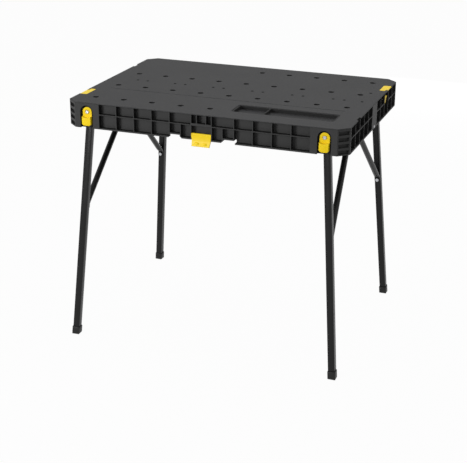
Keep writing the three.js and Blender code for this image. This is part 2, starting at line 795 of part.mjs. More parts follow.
// Brace from the middle of the side down to the leg, in the hinge frame (drawn in Y and Z)
function braceBody(corner) {
  const run = new THREE.Vector2(Math.sin(corner.lean), -Math.cos(corner.lean));
  const inward = new THREE.Vector2(-Math.cos(corner.lean), -Math.sin(corner.lean));
  const offset = legHalf + tabGap + tabHalf;
  const onLeg = (reach) => run.clone().multiplyScalar(reach).addScaledVector(inward, offset);
  const top = new THREE.Vector2(-corner.axisLength, braceTabEnd);
  const topBend = new THREE.Vector2(-corner.axisLength, -braceTopBend);
  const footBend = onLeg(corner.boltReach - braceFootBend);
  const foot = onLeg(corner.boltReach + braceTabEnd);
  const slope = footBend.clone().sub(topBend).normalize();
  const soft = braceBendSoftness;
  const path = new THREE.Path();
  path.moveTo(top.x, top.y);
  path.lineTo(topBend.x, topBend.y + soft);
  path.quadraticCurveTo(topBend.x, topBend.y, topBend.x + slope.x * soft, topBend.y + slope.y * soft);
  const beforeFoot = footBend.clone().addScaledVector(slope, -soft);
  const afterFoot = footBend.clone().addScaledVector(run, soft);
  path.lineTo(beforeFoot.x, beforeFoot.y);
  path.quadraticCurveTo(footBend.x, footBend.y, afterFoot.x, afterFoot.y);
  path.lineTo(foot.x, foot.y);
  const whole = path.getLength();
  const fromTop = braceStations(braceTabEnd + braceTopBend);
  const fromFoot = braceStations(braceTabEnd + braceFootBend).reverse();
  const all = [...fromTop, ...fromFoot.map(([back, round, width]) => [whole - back, round, width])];
  const rings = all.map(([at, round, width]) => {
    const share = at / whole;
    return braceSection(path.getPointAt(share), path.getTangentAt(share), round, width);
  });
  const bolt = onLeg(corner.boltReach);
  const boltHole = rodY(braceBoltRadius + touch, -legHalf, legHalf).rotateX(corner.lean);
  boltHole.translate(0, bolt.x, bolt.y);
  const pinHole = rodY(bracePinRadius + touch, -legHalf, legHalf).translate(0, -corner.axisLength, 0);
  return cut(loft(rings), boltHole, pinHole);
}

// Bolt through the foot of the brace, with its nut inside the leg, in the leg frame
function braceBolt(corner) {
  const z = -corner.boltReach;
  const tabFace = -legHalf - tabGap - braceTabThickness - touch;
  const nutFace = -legHalf + legWall + touch;
  const shank = rodY(braceBoltRadius, tabFace - 1, nutFace + 1, 0, z);
  const head = rodY(boltHeadRadius, tabFace - boltHeadHeight, tabFace, 0, z, 6);
  const nut = rodY(boltHeadRadius, nutFace, nutFace + boltHeadHeight, 0, z, 6);
  return join(shank, head, nut);
}

// Bracket at the middle of a side, carrying the tops of a front and a back brace
const braceCheekIn = tabHalf + touch;
const braceCheekOut = braceCheekIn + plate;

function braceCheek(corner, y0, y1) {
  const shape = new THREE.Shape();
  const rise = -corner.brace.z - deckThickness;
  shape.moveTo(braceCheekHalf, rise);
  shape.lineTo(-braceCheekHalf, rise);
  shape.lineTo(-braceCheekHalf, 0);
  shape.absellipse(0, 0, braceCheekHalf, braceCheekBelow, Math.PI, Math.PI * 2);
  const middle = corner.axisLength;
  return fromHinge(wallPrism(shape, y0 - middle, y1 - middle, { curveSegments: cheekArcSteps }), corner);
}

function braceBracketBody(side) {
  const pair = corners.filter((corner) => corner.x === side);
  const topZ = ribUnderZ - touch;
  const { x } = pair[0].brace;
  const halfX = braceSeatHalfX;
  const cheeks = pair.flatMap((corner) => [
    braceCheek(corner, braceCheekIn, braceCheekOut),
    braceCheek(corner, -braceCheekOut, -braceCheekIn),
  ]);
  const top = box(x - halfX, x + halfX, -braceSeatHalfY, braceSeatHalfY, topZ - plate, topZ);
  const above = box(x - halfX * 2, x + halfX * 2, -halfX * 2, halfX * 2, topZ, 0);
  const holes = pair.map((corner) => {
    const reach = braceCheekOut + 1;
    const hole = rodY(bracePinRadius + touch, -corner.axisLength - reach, -corner.axisLength + reach);
    return fromHinge(hole, corner);
  });
  return cut(join(top, ...cheeks), above, ...holes);
}

function bracePivotPin(corner) {
  const middle = -corner.axisLength;
  const reach = braceCheekOut + touch;
  const shank = rodY(bracePinRadius, middle - reach, middle + reach + 1);
  const head = rodY(bracePinRadius + bracePinHeadRim, middle + reach, middle + reach + bracePinHeadHeight);
  return join(shank, head);
}

// Leg latch, in the frame of its face: a rocker on the screw, with a pad to pull and a lock pin behind
const latchBackY = -latchPocketDepth + latchGap;
const latchFrontY = latchBackY + latchPlate;

function latchBody() {
  const half = latchWidth / 2;
  const shape = new THREE.Shape();
  shape.moveTo(half, -latchPivotDrop);
  shape.absarc(0, -latchPivotDrop, half, 0, Math.PI);
  const turnX = half - latchPadRadius;
  const turnZ = -latchFoot + latchPadRadius;
  shape.lineTo(-half, turnZ);
  shape.absarc(-turnX, turnZ, latchPadRadius, Math.PI, Math.PI * 1.5);
  shape.absarc(turnX, turnZ, latchPadRadius, Math.PI * 1.5, Math.PI * 2);
  const blade = wallPrism(shape, latchBackY, latchFrontY, { curveSegments: latchArcSteps });
  const inset = latchPadBevel;
  const padShape = roundedRect(-half + inset, half - inset, -latchFoot + inset, -latchPivotDrop - inset,
    latchPadRadius - inset);
  const bevel = {
    bevelEnabled: true,
    bevelThickness: inset,
    bevelSize: inset,
    bevelSegments: 2,
    curveSegments: padCornerSteps,
  };
  const pad = wallPrism(padShape, latchFrontY - inset, latchPadReach - inset, bevel);
  const padFront = box(-latchWidth, latchWidth, latchFrontY - 1, latchPadReach + 1, -skirtHeight, 0);
  const scoopZ = latchPadScoop - latchPadTop;
  const scoop = rodY(latchPadScoop, latchFrontY, latchPadReach + 1, 0, scoopZ, scoopSides);
  const grip = cut(asSolid(pad).intersect(asSolid(padFront)), scoop);
  const seatY = latchFrontY - latchScrewSink;
  const seat = rodY(latchScrewHead + latchScrewClear, seatY, latchFrontY + 1, 0, -latchPivotDrop, holeSides);
  const hole = rodY(latchScrewRadius + latchScrewClear, latchBackY - 1, latchFrontY, 0, -latchPivotDrop);
  const relief = box(-latchWidth, latchWidth, -latchPocketDepth, 0, 0, skirtHeight);
  relief.rotateX(-latchRelief).translate(0, latchBackY, -latchPivotDrop);
  const socket = rodY(lockPinRadius + touch, latchBackY - 1, latchBackY + lockPinSocket, 0, -lockPinDrop);
  return cut(join(blade, grip), seat, hole, relief, socket);
}

function latchScrew() {
  const underHead = latchFrontY - latchScrewSink + latchScrewPlay;
  const end = -latchPocketDepth - cornerWall;
  const shank = rodY(latchScrewRadius, end, underHead + 1, 0, -latchPivotDrop);
  const headFace = underHead + latchScrewHeadHeight;
  const head = rodY(latchScrewHead, underHead, headFace, 0, -latchPivotDrop, holeSides);
  const slot = latchScrewSlot / 2;
  const driver = box(-latchScrewHead, latchScrewHead, headFace - 1, headFace + 1, -slot, slot);
  driver.translate(0, 0, -latchPivotDrop);
  return cut(join(shank, head), driver);
}

function lockPin() {
  const legFace = legLineY + Math.tan(splayY) * (lockPinDrop - legLineDrop) + legHalf / Math.cos(splayY);
  const tip = legFace + latchGap + lockPinRadius * Math.tan(splayY) - depth / 2;
  const shank = rodY(lockPinRadius, tip + 1, latchBackY + lockPinSocket - touch, 0, -lockPinDrop);
  const point = new THREE.CylinderGeometry(lockPinRadius, lockPinRadius - 1, 1, pinSides);
  return join(shank, point.translate(0, tip + 0.5, -lockPinDrop));
}

// Link plate, flush in the deck edge, and the hook under it; drawn for the right back edge
function linkPlateBody() {
  const y0 = linkY - linkLength / 2;
  const y1 = linkY + linkLength / 2;
  const topZ = -linkDrop;
  const leaf = roundedRect(linkPinX - linkReach, linkPinX + linkReach, y0, y1, linkRadius);
  const keep = box(linkPinX - linkReach - 1, linkPinX, y0 - 1, y1 + 1, -deckThickness, 1);
  const slab = solid(floorPrism(leaf, topZ - linkPlate, topZ)).intersect(solid(keep));
  const knuckle = rodY(linkKnuckle, y0, y1, linkPinX, linkPinZ);
  const earX = linkPinX - linkEarSweep;
  const ear = box(earX, length, y0 - 1, y0 + linkEar, -deckThickness * 2, deckThickness);
  return cut(join(slab, knuckle), ear, rodY(linkPinRadius + touch, y0 - 1, y1 + 1, linkPinX, linkPinZ));
}

function linkPin() {
  const y0 = linkY - linkLength / 2;
  const y1 = linkY + linkLength / 2 + linkPinEnd - touch;
  return solid(rodY(linkPinRadius, y0, y1, linkPinX, linkPinZ));
}

function hookBody() {
  const half = hookWidth / 2;
  const tip = hookTipWidth / 2;
  const shape = new THREE.Shape();
  shape.moveTo(half, 0);
  shape.lineTo(-half, 0);
  shape.lineTo(-half, -hookShoulder);
  shape.lineTo(-tip, -hookLength + tip / 2);
  shape.quadraticCurveTo(-tip, -hookLength, 0, -hookLength);
  shape.quadraticCurveTo(tip, -hookLength, tip, -hookLength + tip / 2);
  shape.lineTo(half, -hookShoulder);
  const blade = wallPrism(shape, -hookThickness / 2, hookThickness / 2).rotateZ(Math.PI / 2);
  const barrel = rodY(hookKnuckle, -half, half);
  const body = cut(join(blade, barrel), rodY(hookPinRadius + touch, -hookWidth, hookWidth));
  return body.translate([hookPinX, hookMiddle, -hookPinDrop]);
}

function hookPin() {
  const reach = hookPinHalf - touch;
  return solid(rodY(hookPinRadius, hookMiddle - reach, hookMiddle + reach, hookPinX, -hookPinDrop));
}

// Flap on the front block, in the frame of the front face
function flapBody() {
  const half = flapWidth / 2;
  const y = -flapPinSetback;
  const z = -flapPinDrop;
  const bendZ = z - flapLength + flapFlareLength;
  const endZ = z - flapLength;
  const outY = y + flapKnuckle;
  const profile = new THREE.Shape();
  profile.moveTo(outY, z);
  profile.lineTo(outY, bendZ);
  profile.lineTo(outY + flapFlare, endZ);
  profile.lineTo(outY + flapFlare - flapThickness, endZ);
  profile.lineTo(outY - flapThickness, bendZ - flapThickness / 4);
  profile.lineTo(outY - flapThickness, z);
  const leaf = sidePrism(profile, -half, half);
  const knuckle = rodX(flapKnuckle, -half, half, y, z);
  const trims = [-1, 1].map((side) => {
    const trim = box(0, flapWidth, -flapWidth, flapWidth, -flapLength * 2, 0);
    if (side < 0) trim.rotateZ(Math.PI);
    return trim.rotateY(side * Math.atan2(flapTaper, flapLength)).translate(side * half, 0, z - flapKnuckle);
  });
  const tilt = Math.atan2(flapFlare, flapFlareLength);
  const bumps = [-1, 1].map((side) => {
    const bump = new THREE.SphereGeometry(1, 10, 6).scale(flapBumpRadius, flapBumpRise, flapBumpHalfHeight);
    const place = [side * half * flapBumpShare, outY + flapFlare / 2, endZ + flapFlareLength / 2];
    return bump.rotateX(tilt).translate(...place);
  });
  const pinHole = rodX(flapPinRadius + touch, -half - 1, half + 1, y, z);
  return cut(join(leaf, knuckle, ...bumps), ...trims, pinHole);
}

function flapPin() {
  const reach = flapPinHalf - touch;
  return solid(rodX(flapPinRadius, -reach, reach, -flapPinSetback, -flapPinDrop));
}

// Assembly
const bench = new THREE.Group();
const top = new THREE.Group();
top.position.z = height;
bench.add(top);

function add(group, name, body, colour) {
  const mesh = new THREE.Mesh(geometryOf(body), finish(colour));
  mesh.name = name;
  group.add(mesh);
}

function subGroup(parent, turn) {
  const group = new THREE.Group();
  group.rotation.z = turn;
  parent.add(group);
  return group;
}

add(top, 'deck', deckBody(), 'deck');
add(top, 'skirt_frame', skirtBody(), 'skirt');
add(top, 'brace_bracket_left', braceBracketBody(-1), 'blackSteel');
add(top, 'brace_bracket_right', braceBracketBody(1), 'blackSteel');

for (const corner of corners) {
  const hinge = new THREE.Group();
  hinge.position.copy(corner.pivot);
  hinge.quaternion.copy(corner.turn);
  top.add(hinge);
  add(hinge, `leg_bracket_${corner.name}`, legBracketBody(corner), 'blackSteel');
  add(hinge, `leg_pivot_pin_${corner.name}`, legPivotPin(), 'steel');
  add(hinge, `brace_${corner.name}`, braceBody(corner), 'tube');
  add(hinge, `brace_pivot_pin_${corner.name}`, bracePivotPin(corner), 'steel');

  const leg = new THREE.Group();
  leg.rotation.x = corner.lean;
  hinge.add(leg);
  add(leg, `leg_${corner.name}`, legBody(corner), 'tube');
  add(leg, `foot_cap_${corner.name}`, footCapBody(corner), 'cap');
  add(leg, `brace_bolt_${corner.name}`, braceBolt(corner), 'steel');

  const face = corner.y < 0 ? faces.front : faces.back;
  const latch = subGroup(top, face.turn);
  latch.position.set(corner.x * latchX, corner.y * depth / 2, 0);
  add(latch, `leg_latch_${corner.name}`, latchBody(), 'yellow');
  add(latch, `latch_screw_${corner.name}`, latchScrew(), 'steel');
  add(latch, `lock_pin_${corner.name}`, lockPin(), 'steel');
}

for (const [name, turn] of [['right', 0], ['left', Math.PI]]) {
  const link = subGroup(top, turn);
  add(link, `link_plate_${name}`, linkPlateBody(), 'yellow');
  add(link, `link_plate_pin_${name}`, linkPin(), 'steel');
  add(link, `link_hook_${name}`, hookBody(), 'yellow');
  add(link, `link_hook_pin_${name}`, hookPin(), 'steel');
}

const front = subGroup(top, faces.front.turn);
front.position.y = -depth / 2;
add(front, 'front_flap', flapBody(), 'yellow');
add(front, 'front_flap_pin', flapPin(), 'steel');

export default bench;
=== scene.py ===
import json
import math

import bmesh
import bpy
from mathutils import Matrix, Vector


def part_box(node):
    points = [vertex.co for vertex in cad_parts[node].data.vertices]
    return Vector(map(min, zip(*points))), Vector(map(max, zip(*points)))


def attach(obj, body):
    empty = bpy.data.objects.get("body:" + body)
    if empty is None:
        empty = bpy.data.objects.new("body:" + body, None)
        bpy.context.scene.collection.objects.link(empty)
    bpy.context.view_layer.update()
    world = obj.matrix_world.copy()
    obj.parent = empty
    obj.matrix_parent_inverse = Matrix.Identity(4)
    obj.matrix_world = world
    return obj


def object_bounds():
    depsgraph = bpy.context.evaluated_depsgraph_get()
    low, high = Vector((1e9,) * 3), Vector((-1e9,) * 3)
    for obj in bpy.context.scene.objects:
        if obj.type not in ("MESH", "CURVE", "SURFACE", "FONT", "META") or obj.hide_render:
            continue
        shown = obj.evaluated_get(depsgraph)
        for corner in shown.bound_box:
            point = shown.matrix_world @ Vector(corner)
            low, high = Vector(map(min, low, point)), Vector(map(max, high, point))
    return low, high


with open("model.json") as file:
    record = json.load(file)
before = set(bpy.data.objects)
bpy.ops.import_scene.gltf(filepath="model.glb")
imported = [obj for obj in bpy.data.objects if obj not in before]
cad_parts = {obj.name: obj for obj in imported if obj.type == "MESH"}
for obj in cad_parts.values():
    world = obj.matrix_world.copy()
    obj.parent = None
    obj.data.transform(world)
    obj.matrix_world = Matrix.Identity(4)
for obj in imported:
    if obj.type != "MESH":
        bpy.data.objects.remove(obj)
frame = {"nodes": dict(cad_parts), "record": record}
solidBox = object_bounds()
nodes = frame["nodes"]
print("bench loaded:", len(nodes), "solids")

scene = bpy.context.scene
scene.view_settings.view_transform = "Standard"

viewSetup = {
    "place": (1.14974, -3.16519, 1.61117),
    "yaw": math.radians(-20.148),
    "pitch": math.radians(-21.537),
    "roll": math.radians(0.3217),
    "focalPixels": 1131.39,
    "framePixels": 467,
    "sensor": 36.0,
    "farthest": 100,
}


def addCamera(setup):
    yaw, pitch, roll = setup["yaw"], setup["pitch"], setup["roll"]
    ahead = Vector((math.sin(yaw) * math.cos(pitch), math.cos(yaw) * math.cos(pitch), math.sin(pitch)))
    level = Vector((math.cos(yaw), -math.sin(yaw), 0))
    upright = level.cross(ahead)
    right = level * math.cos(roll) + upright * math.sin(roll)
    up = upright * math.cos(roll) - level * math.sin(roll)
    lens = bpy.data.cameras.new("benchCamera")
    lens.sensor_fit = "HORIZONTAL"
    lens.sensor_width = setup["sensor"]
    lens.lens = setup["sensor"] * setup["focalPixels"] / setup["framePixels"]
    lens.clip_end = setup["farthest"]
    camera = bpy.data.objects.new("benchCamera", lens)
    camera.matrix_world = Matrix((
        (right.x, up.x, -ahead.x, setup["place"][0]),
        (right.y, up.y, -ahead.y, setup["place"][1]),
        (right.z, up.z, -ahead.z, setup["place"][2]),
        (0, 0, 0, 1),
    ))
    scene.collection.objects.link(camera)
    scene.camera = camera


addCamera(viewSetup)
print("camera set")

edgeSetup = {"samples": 4, "gain": 3.0}


class Wire:
    # one output socket that takes part in plain sums
    def __init__(self, tree, socket):
        self.tree = tree
        self.socket = socket

    def sum(self, operation, first, second):
        return self.tree.make("ShaderNodeMath", {"operation": operation}, {0: first, 1: second})

    def __add__(self, other):
        return self.sum("ADD", self, other)

    def __radd__(self, other):
        return self.sum("ADD", other, self)

    def __sub__(self, other):
        return self.sum("SUBTRACT", self, other)

    def __rsub__(self, other):
        return self.sum("SUBTRACT", other, self)

    def __mul__(self, other):
        return self.sum("MULTIPLY", self, other)

    def __rmul__(self, other):
        return self.sum("MULTIPLY", other, self)

    def size(self):
        return self.sum("ABSOLUTE", self, 0.0)

    def least(self, other):
        return self.sum("MINIMUM", self, other)


class Tree:
    # the nodes of one material or world
    def __init__(self, owner):
        owner.use_nodes = True
        self.nodes = owner.node_tree.nodes
        self.links = owner.node_tree.links
        self.nodes.clear()

    def make(self, kind, settings=None, sockets=None, out=0):
        node = self.nodes.new(kind)
        for key, value in (settings or {}).items():
            setattr(node, key, value)
        for key, value in (sockets or {}).items():
            if isinstance(key, int):
                target = node.inputs[key]
            else:
                target = next(s for s in node.inputs if s.name == key and s.enabled)
            if isinstance(value, Wire):
                self.links.new(value.socket, target)
            else:
                target.default_value = value
        live = [s for s in node.outputs if s.enabled]
        if not live:
            return node
        return Wire(self, live[out] if isinstance(out, int) else node.outputs[out])

    def noise(self, where, scale, detail=3.0, rough=0.55):
        sockets = {"Vector": where, "Scale": scale, "Detail": detail, "Roughness": rough}
        return self.make("ShaderNodeTexNoise", None, sockets)

    def part(self, where, axis):
        return self.make("ShaderNodeSeparateXYZ", None, {"Vector": where}, axis)

    def stretch(self, where, scale):
        return self.make("ShaderNodeMapping", None, {"Vector": where, "Scale": scale})

    def blend(self, factor, first, second):
        sockets = {"Factor": factor, "A": first, "B": second}
        return self.make("ShaderNodeMix", {"data_type": "RGBA"}, sockets)

    def band(self, value, low, high):
        sockets = {"Value": value, "From Min": low, "From Max": high}
        return self.make("ShaderNodeMapRange", {"clamp": True}, sockets)

    # softened normal, and where a surface turns over an edge: 1 on the edge, 0 away from it
    def edges(self, radius):
        rounded = self.make("ShaderNodeBevel", {"samples": edgeSetup["samples"]}, {"Radius": radius})
        flat = self.make("ShaderNodeNewGeometry", None, None, "Normal")
        product = {"operation": "DOT_PRODUCT"}
        facing = self.make("ShaderNodeVectorMath", product, {0: rounded, 1: flat}, "Value")
        return rounded, self.band((1.0 - facing) * edgeSetup["gain"], 0.0, 1.0)

    def bump(self, strength, depth, height, normal=None):
        sockets = {"Strength": strength, "Distance": depth, "Height": height}
        if normal:
            sockets["Normal"] = normal
        return self.make("ShaderNodeBump", None, sockets)


def colour(red, green, blue):
    return (red, green, blue, 1.0)


def startMaterial(name):
    material = bpy.data.materials.new(name)
    tree = Tree(material)
    where = tree.make("ShaderNodeTexCoord", None, None, "Object")
    return material, tree, where


def closeMaterial(tree, sockets):
    shader = tree.make("ShaderNodeBsdfPrincipled", None, sockets)
    tree.make("ShaderNodeOutputMaterial", None, {"Surface": shader})


# paler edges on each plastic are part edge wear and part painted highlight; the darker colour on the
# walls of holes, tray and cells is painted shade
deckFinish = {
    "name": "deckPlastic", "dark": colour(0.021, 0.021, 0.022), "pale": colour(0.030, 0.030, 0.031),
    "scuff": colour(0.085, 0.085, 0.087), "edge": colour(0.100, 0.100, 0.102), "edgeShare": 0.4,
    "grainScale": 1100, "grainDepth": 0.00025, "rough": 0.58, "gloss": 0.3, "edgeRadius": 0.0010,
    "sunk": colour(0.010, 0.010, 0.010), "sunkShare": 0.8,
}
skirtFinish = {
    "name": "skirtPlastic", "dark": colour(0.026, 0.026, 0.026), "pale": colour(0.038, 0.038, 0.038),
    "scuff": colour(0.055, 0.055, 0.056), "edge": colour(0.070, 0.070, 0.071), "edgeShare": 0.15,
    "grainScale": 1100, "grainDepth": 0.00022, "rough": 0.52, "gloss": 0.25, "edgeRadius": 0.0008,
    "sunk": colour(0.004, 0.004, 0.004), "sunkShare": 0.85,
}
plasticDetail = {
    "grainDetail": 2.0, "grainBump": 0.6, "grainRough": 0.16, "mottleScale": 9, "mottleDetail": 4.0,
    "streakStretch": (14, 190, 60), "streakDetail": 4.0, "streakRough": 0.65, "streakBand": (0.62, 0.8),
    "scuffPatch": (0.45, 0.7), "scuffShare": 0.5, "scuffShine": 0.08, "sunkRough": 0.2,
}
# sizes that place the painted shade on the deck and skirt
topShape = {
    "cornerX": 0.030, "cornerY": 0.027,
    "trayDepth": 0.012, "deckLip": (0.0004, 0.0014), "floorFade": 0.002, "rimFade": (0.002, 0.004),
    "cellDepth": 0.015, "skirtLip": (0.0004, 0.002), "panelFade": (0.0005, 0.0015),
    "cornerFade": (0.010, 0.018),
}


# how far a point lies in from the sides of the top, and from its cut corners
def depthInside(tree, where, shape):
    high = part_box("deck")[1]
    x = tree.part(where, "X").size()
    y = tree.part(where, "Y").size()
    run = math.hypot(shape["cornerX"], shape["cornerY"])
    slopeX, slopeY = shape["cornerY"] / run, shape["cornerX"] / run
    corner = slopeX * (high.x - shape["cornerX"]) + slopeY * high.y
    return (high.x - x).least(high.y - y), corner - (x * slopeX + y * slopeY)


# painted shade on the walls of the holes and the tray, but not on the tray's floor
def paintedShadeInDeck(tree, where, shape):
    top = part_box("deck")[1].z
    drop = top - tree.part(where, "Z")
    tray = shape["trayDepth"]
    walls = tree.band(drop, *shape["deckLip"]) * tree.band(drop, tray, tray - shape["floorFade"])
    depth, fromCorner = depthInside(tree, where, shape)
    return walls * tree.band(depth.least(fromCorner), *shape["rimFade"])


# painted shade on the walls of the cells and pockets, but not on the panels at their backs or the slots
# at the corners
def paintedShadeInSkirt(tree, where, shape):
    depth, fromCorner = depthInside(tree, where, shape)
    panel = [shape["cellDepth"] - fade for fade in shape["panelFade"]]
    walls = tree.band(depth, *shape["skirtLip"]) * tree.band(depth, *panel)
    return walls * tree.band(fromCorner, *shape["cornerFade"])


# moulded plastic: fine spark grain, broad mottling, faint scuffs, paler edges that are part edge wear
# and part painted highlight, and painted shade on the walls of holes, tray and cells
def mouldedPlastic(finish, detail, paintedShadePlaces):
    material, tree, where = startMaterial(finish["name"])
    sunk = paintedShadePlaces(tree, where, topShape)
    grain = tree.noise(where, finish["grainScale"], detail["grainDetail"])
    mottle = tree.noise(where, detail["mottleScale"], detail["mottleDetail"])
    drawn = tree.stretch(where, detail["streakStretch"])
    streaks = tree.noise(drawn, 1.0, detail["streakDetail"], detail["streakRough"])
    scuff = tree.band(streaks, *detail["streakBand"]) * tree.band(mottle, *detail["scuffPatch"])
    rounded, rim = tree.edges(finish["edgeRadius"])
    body = tree.blend(mottle, finish["dark"], finish["pale"])
    body = tree.blend(scuff * detail["scuffShare"], body, finish["scuff"])
    # paler edges: part edge wear, part painted highlight
    body = tree.blend(rim * finish["edgeShare"], body, finish["edge"])
    # painted shade: darker colour on the walls of holes, tray and cells
    body = tree.blend(sunk * finish["sunkShare"], body, finish["sunk"])
    rough = finish["rough"] + (grain - 0.5) * detail["grainRough"]
    closeMaterial(tree, {
        "Base Color": body,
        "Roughness": rough - scuff * detail["scuffShine"] + sunk * detail["sunkRough"],
        "Specular IOR Level": finish["gloss"],
        "Normal": tree.bump(detail["grainBump"], finish["grainDepth"], grain, rounded),
    })
    return material


coatFinish = {
    "name": "legPowderCoat", "dark": colour(0.004, 0.004, 0.004), "pale": colour(0.008, 0.008, 0.008),
    "worn": colour(0.040, 0.040, 0.041), "peelScale": 620, "peelDepth": 0.0002, "rough": 0.27,
    "gloss": 0.3, "edgeRadius": 0.0015,
}
bracketFinish = {
    "name": "bracketPaint", "dark": colour(0.016, 0.016, 0.017), "pale": colour(0.026, 0.026, 0.028),
    "worn": colour(0.120, 0.120, 0.122), "peelScale": 700, "peelDepth": 0.0002, "rough": 0.42,
    "gloss": 0.5, "edgeRadius": 0.0008,
}
coatDetail = {
    "peelDetail": 1.5, "peelBump": 0.5, "driftScale": 14, "driftRough": 0.2,
    "rubScale": 55, "rubDetail": 4.0, "rubBand": (0.42, 0.62), "rubShare": 0.6,
}


# baked black coat on steel: orange peel, a soft sheen and rubbed edges
def bakedCoat(finish, detail):
    material, tree, where = startMaterial(finish["name"])
    peel = tree.noise(where, finish["peelScale"], detail["peelDetail"])
    drift = tree.noise(where, detail["driftScale"])
    rounded, rim = tree.edges(finish["edgeRadius"])
    wear = tree.noise(where, detail["rubScale"], detail["rubDetail"])
    rubbed = rim * tree.band(wear, *detail["rubBand"])
    body = tree.blend(drift, finish["dark"], finish["pale"])
    body = tree.blend(rubbed * detail["rubShare"], body, finish["worn"])
    closeMaterial(tree, {
        "Base Color": body,
        "Roughness": finish["rough"] + (drift - 0.5) * detail["driftRough"],
        "Specular IOR Level": finish["gloss"],
        "Normal": tree.bump(detail["peelBump"], finish["peelDepth"], peel, rounded),
    })
    return material


yellowFinish = {
    "name": "yellowPlastic", "deep": colour(0.84, 0.57, 0.003), "bright": colour(0.94, 0.70, 0.006),
    "edge": colour(0.97, 0.80, 0.10), "grime": colour(0.62, 0.42, 0.005),
    "grainScale": 1300, "grainDepth": 0.00015, "rough": 0.38, "gloss": 0.3, "edgeRadius": 0.0015,
    "grainDetail": 2.0, "grainBump": 0.4, "grainRough": 0.12, "driftScale": 40, "edgeShare": 0.5,
    "handScale": 120, "handDetail": 5.0, "handSpread": 0.7, "handBand": (0.58, 0.78),
    "grimeShare": 0.18, "grimeRough": 0.1,
}


# yellow moving parts: uneven colour, a little grime from hands and paler edges, part edge wear and part
# painted highlight
def yellowPlastic(finish):
    material, tree, where = startMaterial(finish["name"])
    grain = tree.noise(where, finish["grainScale"], finish["grainDetail"])
    drift = tree.noise(where, finish["driftScale"])
    touch = tree.noise(where, finish["handScale"], finish["handDetail"], finish["handSpread"])
    handled = tree.band(touch, *finish["handBand"])
    rounded, rim = tree.edges(finish["edgeRadius"])
    body = tree.blend(drift, finish["deep"], finish["bright"])
    body = tree.blend(handled * finish["grimeShare"], body, finish["grime"])
    # paler edges: part edge wear, part painted highlight
    body = tree.blend(rim * finish["edgeShare"], body, finish["edge"])
    rough = finish["rough"] + (grain - 0.5) * finish["grainRough"]
    closeMaterial(tree, {
        "Base Color": body,
        "Roughness": rough + handled * finish["grimeRough"],
        "Specular IOR Level": finish["gloss"],
        "Normal": tree.bump(finish["grainBump"], finish["grainDepth"], grain, rounded),
    })
    return material


zincFinish = {
    "name": "zincSteel", "dull": colour(0.46, 0.47, 0.49), "bright": colour(0.72, 0.73, 0.75),
    "brushScale": (2600, 90, 90), "brushDepth": 0.00008, "brushBump": 0.4,
    "cloudScale": 160, "cloudRough": 0.25, "rough": 0.3,
}


# plated fasteners: fine turning marks and cloudy plating
def zincSteel(finish):
    material, tree, where = startMaterial(finish["name"])
    marks = tree.noise(tree.stretch(where, finish["brushScale"]), 1.0)
    cloud = tree.noise(where, finish["cloudScale"])
    closeMaterial(tree, {
        "Base Color": tree.blend(cloud, finish["dull"], finish["bright"]),
        "Metallic": 1.0,
        "Roughness": finish["rough"] + (cloud - 0.5) * finish["cloudRough"],
        "Normal": tree.bump(finish["brushBump"], finish["brushDepth"], marks),
    })
    return material


rubberFinish = {
    "name": "footRubber", "dark": colour(0.008, 0.008, 0.008), "dust": colour(0.014, 0.013, 0.012),
    "grainDepth": 0.0002, "rough": 0.4, "gloss": 0.35,
}
# black for the discs in the small holes, which are painted shade
holeShadeFinish = {
    "name": "eyeletRubber", "dark": colour(0.004, 0.004, 0.004), "dust": colour(0.006, 0.006, 0.006),
    "grainDepth": 0.0003, "rough": 0.82, "gloss": 0.0,
}
rubberDetail = {
    "grainScale": 800, "grainBump": 0.5, "patchScale": 90, "patchDetail": 4.0, "patchRough": 0.12,
    "dustTop": 0.018,
}


# soft black rubber, dusty near the floor; the same black also makes the painted shade discs in the
# small holes
def blackRubberAndShade(finish, detail):
    material, tree, where = startMaterial(finish["name"])
    grain = tree.noise(where, detail["grainScale"])
    patch = tree.noise(where, detail["patchScale"], detail["patchDetail"])
    low = tree.band(tree.part(where, "Z"), detail["dustTop"], 0.0)
    closeMaterial(tree, {
        "Base Color": tree.blend(low * patch, finish["dark"], finish["dust"]),
        "Roughness": finish["rough"] + (patch - 0.5) * detail["patchRough"],
        "Specular IOR Level": finish["gloss"],
        "Normal": tree.bump(detail["grainBump"], finish["grainDepth"], grain),
    })
    return material


deckMaterial = mouldedPlastic(deckFinish, plasticDetail, paintedShadeInDeck)
skirtMaterial = mouldedPlastic(skirtFinish, plasticDetail, paintedShadeInSkirt)
coatMaterial = bakedCoat(coatFinish, coatDetail)
bracketMaterial = bakedCoat(bracketFinish, coatDetail)
yellowMaterial = yellowPlastic(yellowFinish)
zincMaterial = zincSteel(zincFinish)
rubberMaterial = blackRubberAndShade(rubberFinish, rubberDetail)
holeShadeMaterial = blackRubberAndShade(holeShadeFinish, rubberDetail)
print("finishes mixed")

slotMaterials = {
    "deck_plastic": deckMaterial,
    "skirt_plastic": skirtMaterial,
    "leg_steel": coatMaterial,
    "black_steel": bracketMaterial,
    "yellow_plastic": yellowMaterial,
    "bright_steel": zincMaterial,
    "foot_rubber": rubberMaterial,
}
for row in frame["record"]["subparts"]:
    solid = nodes[row["node"]]
    solid.data.materials.clear()
    solid.data.materials.append(slotMaterials[row["material_slot"]])

shadeSetup = {"joinDistance": 0.00001, "smoothBelow": math.radians(32), "roundAbove": math.radians(50)}


